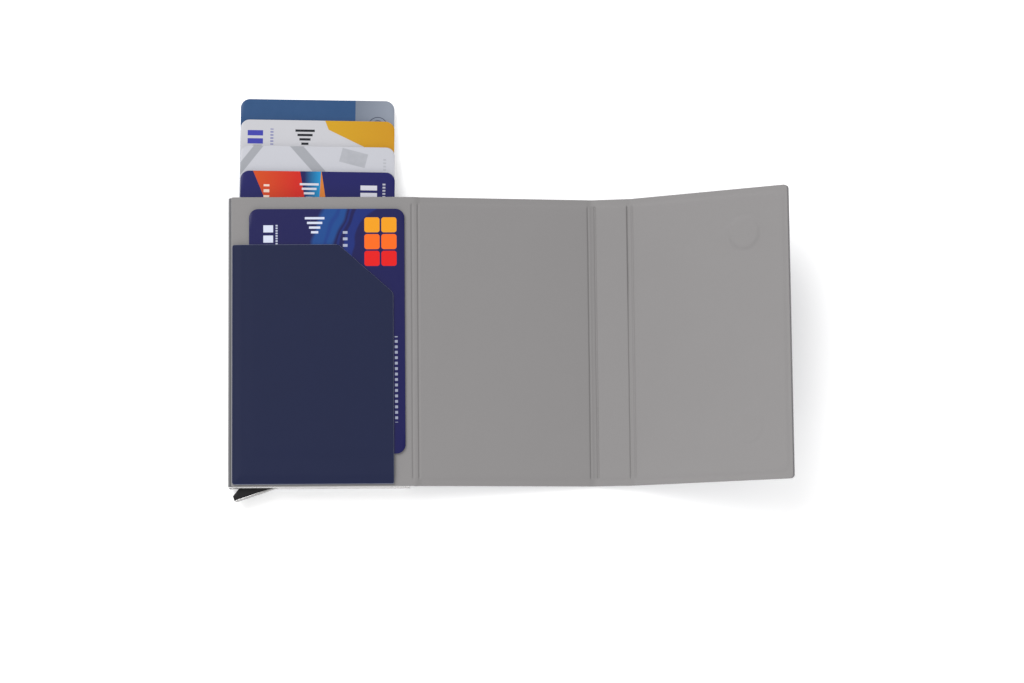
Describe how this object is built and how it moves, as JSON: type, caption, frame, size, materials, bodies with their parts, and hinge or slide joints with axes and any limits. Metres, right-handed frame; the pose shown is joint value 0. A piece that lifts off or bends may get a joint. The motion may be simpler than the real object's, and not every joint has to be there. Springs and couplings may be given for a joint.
{
  "type": "minimalist wallet",
  "caption": "Slim aluminium pop-up card case with a folding navy and grey cover, front pocket, thumb trigger lever and magnetic flap, lying open with its cards fanned out.",
  "frame": {"origin": "centre of the outer face of the skin on the case's back, which lies on the table", "axes": "+X along the open cover from the case to the flap, +Y out of the card mouth, +Z out of the pocket side, away from the table"},
  "size_m": [0.1934, 0.1421, 0.034],
  "materials": {
    "aluminium": "satin anodised, polished chamfers at both ends",
    "navy_skin": "matt navy coated leather with a fine woven grain",
    "grey_lining": "matt warm grey lining, very fine grain",
    "stiffener": "plain fibre board, not seen",
    "black_plastic": "fine moulded texture",
    "steel": "plain turned or stamped steel",
    "magnet": "nickel plated, not seen",
    "felt": "short pile felt, not seen",
    "pocket_card": "satin laminated card",
    "card_1": "satin laminated card",
    "card_2": "satin laminated card",
    "card_3": "satin laminated card",
    "card_4": "satin laminated card"
  },
  "bodies": {
    "case": {"case_shell": "aluminium", "guide_rail_left": "black_plastic", "guide_rail_right": "black_plastic", "base_plug": "black_plastic", "felt_pad_back": "felt", "felt_pad_front": "felt", "back_skin": "navy_skin", "case_front_skin": "navy_skin", "front_lining": "grey_lining", "keeper_disc_top": "steel", "keeper_disc_bottom": "steel", "pocket": "navy_skin", "lever_pivot_pin": "steel"},
    "fold_strip": {"crease_strip_a": "navy_skin"},
    "front_panel": {"front_panel_skin": "navy_skin", "front_panel_board": "stiffener", "front_panel_lining": "grey_lining", "crease_strip_b": "navy_skin"},
    "spine": {"spine_skin": "navy_skin", "spine_board": "stiffener", "spine_lining": "grey_lining", "crease_strip_c": "navy_skin"},
    "flap": {"flap_skin": "navy_skin", "flap_board": "stiffener", "flap_lining": "grey_lining", "magnet_top": "magnet", "magnet_bottom": "magnet"},
    "trigger": {"trigger_lever": "black_plastic", "trigger_face": "aluminium"},
    "pocket_card": {"pocket_card": "pocket_card"},
    "card_1": {"card_1": "card_1"},
    "card_2": {"card_2": "card_2"},
    "card_3": {"card_3": "card_3"},
    "card_4": {"card_4": "card_4"}
  },
  "joints": [
    {"name": "cover_fold_inner", "type": "hinge", "parent": "case", "child": "fold_strip", "pos_m": [0.0319, 0, 0.01085], "axis": [0, -1, 0], "range_deg": [-10, 93.4], "deforming": ["crease_strip_a"]},
    {"name": "cover_fold_outer", "type": "hinge", "parent": "fold_strip", "child": "front_panel", "pos_m": [0.0319, 0, 0.01085], "axis": [0, -1, 0], "range_deg": [-10, 93.4]},
    {"name": "spine_fold", "type": "hinge", "parent": "front_panel", "child": "spine", "pos_m": [0.0958, 0, 0.00161], "axis": [0, -1, 0], "range_deg": [-17.8, 72.1], "deforming": ["crease_strip_b"]},
    {"name": "flap_fold", "type": "hinge", "parent": "spine", "child": "flap", "pos_m": [0.10971, 0, 0.0037], "axis": [0, -1, 0], "range_deg": [-18.5, 71.5], "deforming": ["crease_strip_c"]},
    {"name": "trigger_turn", "type": "hinge", "parent": "case", "child": "trigger", "pos_m": [-0.0159, -0.0465, 0.00475], "axis": [0, 0, 1], "range_deg": [-18.6, 0]},
    {"name": "card_1_slide", "type": "slide", "parent": "case", "child": "card_1", "axis": [0, 1, 0], "range_m": [-0.0112, 0.0001]},
    {"name": "card_2_slide", "type": "slide", "parent": "case", "child": "card_2", "axis": [0, 1, 0], "range_m": [-0.0203, 0.0001]},
    {"name": "card_3_slide", "type": "slide", "parent": "case", "child": "card_3", "axis": [0, 1, 0], "range_m": [-0.0298, 0.0001]},
    {"name": "card_4_slide", "type": "slide", "parent": "case", "child": "card_4", "axis": [0, 1, 0], "range_m": [-0.0374, 0.0001]},
    {"name": "pocket_card_slide", "type": "slide", "parent": "case", "child": "pocket_card", "axis": [0, 1, 0], "range_m": [-0.0075, 0.045]}
  ],
  "couplings": [
    {"joint": "card_1_slide", "follows": "trigger_turn", "m_per_rad": 0.034193},
    {"joint": "card_2_slide", "follows": "trigger_turn", "m_per_rad": 0.062224},
    {"joint": "card_3_slide", "follows": "trigger_turn", "m_per_rad": 0.091488},
    {"joint": "card_4_slide", "follows": "trigger_turn", "m_per_rad": 0.1149}
  ]
}
